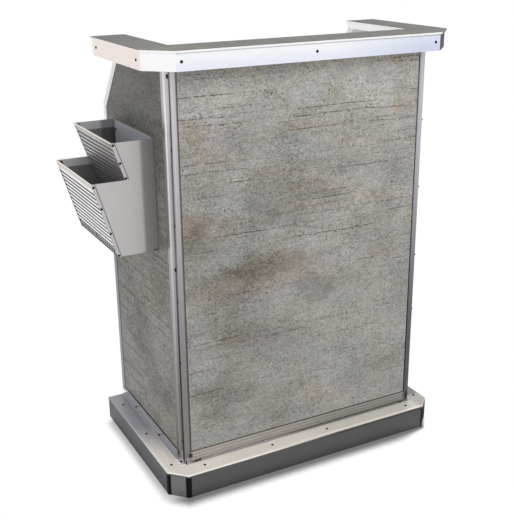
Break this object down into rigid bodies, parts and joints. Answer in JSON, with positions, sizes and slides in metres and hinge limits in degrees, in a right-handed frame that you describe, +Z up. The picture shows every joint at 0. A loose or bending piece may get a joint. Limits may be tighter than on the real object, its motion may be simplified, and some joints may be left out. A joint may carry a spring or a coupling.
{
  "type": "hostess stand",
  "caption": "Free-standing host stand: laminate panels in metal frames on a chamfered plinth, U-shaped ledge, worktop and shelf behind, two-tier louvred menu bin.",
  "frame": {"origin": "on the floor, under the middle of the rectangle that the base covers", "axes": "+Z up, +Y from the guest's side to the host's side, +X to the guest's right"},
  "size_m": [1.017, 0.5735, 1.219],
  "materials": {
    "frame_metal": "satin extruded aluminium",
    "post_metal": "satin extruded aluminium, in a groove",
    "ledge_metal": "satin aluminium sheet",
    "sill_metal": "satin aluminium angle",
    "shelf_metal": "satin aluminium edging and angle",
    "base_metal": "brushed stainless sheet",
    "skirt_metal": "dark polished stainless sheet",
    "bin_metal": "fine satin stainless sheet",
    "louvre_metal": "pressed louvred sheet",
    "front_laminate": "decorative high-pressure laminate, weathered concrete pattern",
    "side_laminate": "decorative high-pressure laminate, weathered concrete pattern",
    "ledge_laminate": "dark slate-grey laminate",
    "worktop_laminate": "board faced with dark slate-grey laminate",
    "panel_board": "white-faced particle board",
    "shelf_board": "white-faced particle board",
    "timber": "plywood and softwood",
    "screw": "blackened steel screws and rivets",
    "glide": "nylon glide"
  },
  "bodies": {
    "root": {"base_top_plate": "base_metal", "base_skirt": "skirt_metal", "base_deck": "timber", "base_rail_front": "timber", "base_rail_rear": "timber", "base_rail_left": "timber", "base_rail_right": "timber", "base_rail_middle": "timber", "base_corner_blocks": "timber", "base_glides": "glide", "base_screws": "screw", "sill_left": "sill_metal", "sill_right": "sill_metal", "sill_front": "sill_metal", "sill_screws": "screw", "front_sill_screws": "screw", "corner_post_left": "post_metal", "corner_post_right": "post_metal", "post_screws": "screw", "seam_rivets": "screw", "front_stile_left": "frame_metal", "front_stile_right": "frame_metal", "front_bottom_rail": "frame_metal", "front_top_rail": "frame_metal", "front_board": "panel_board", "front_laminate": "front_laminate", "side_front_stile_left": "frame_metal", "side_rear_stile_left": "frame_metal", "side_slope_stile_left": "frame_metal", "side_bottom_rail_left": "frame_metal", "side_top_rail_left": "frame_metal", "side_board_left": "panel_board", "side_laminate_left": "side_laminate", "side_front_stile_right": "frame_metal", "side_rear_stile_right": "frame_metal", "side_slope_stile_right": "frame_metal", "side_bottom_rail_right": "frame_metal", "side_top_rail_right": "frame_metal", "side_board_right": "panel_board", "side_laminate_right": "side_laminate", "worktop": "worktop_laminate", "shelf": "shelf_board", "shelf_edgings": "shelf_metal", "shelf_cleats": "shelf_metal", "cleat_screws": "screw", "top_cap_plate": "ledge_metal", "top_laminate": "ledge_laminate", "top_core": "timber", "top_subframe": "timber", "top_band": "ledge_metal", "top_inner_trim": "ledge_metal", "band_screws": "screw", "ledge_screws": "screw", "bin_back": "bin_metal", "bin_cheek_front": "bin_metal", "bin_cheek_rear": "bin_metal", "bin_upper_face": "louvre_metal", "bin_lower_face": "louvre_metal", "bin_rivets": "screw", "bin_wall_screws": "screw"}
  },
  "joints": []
}
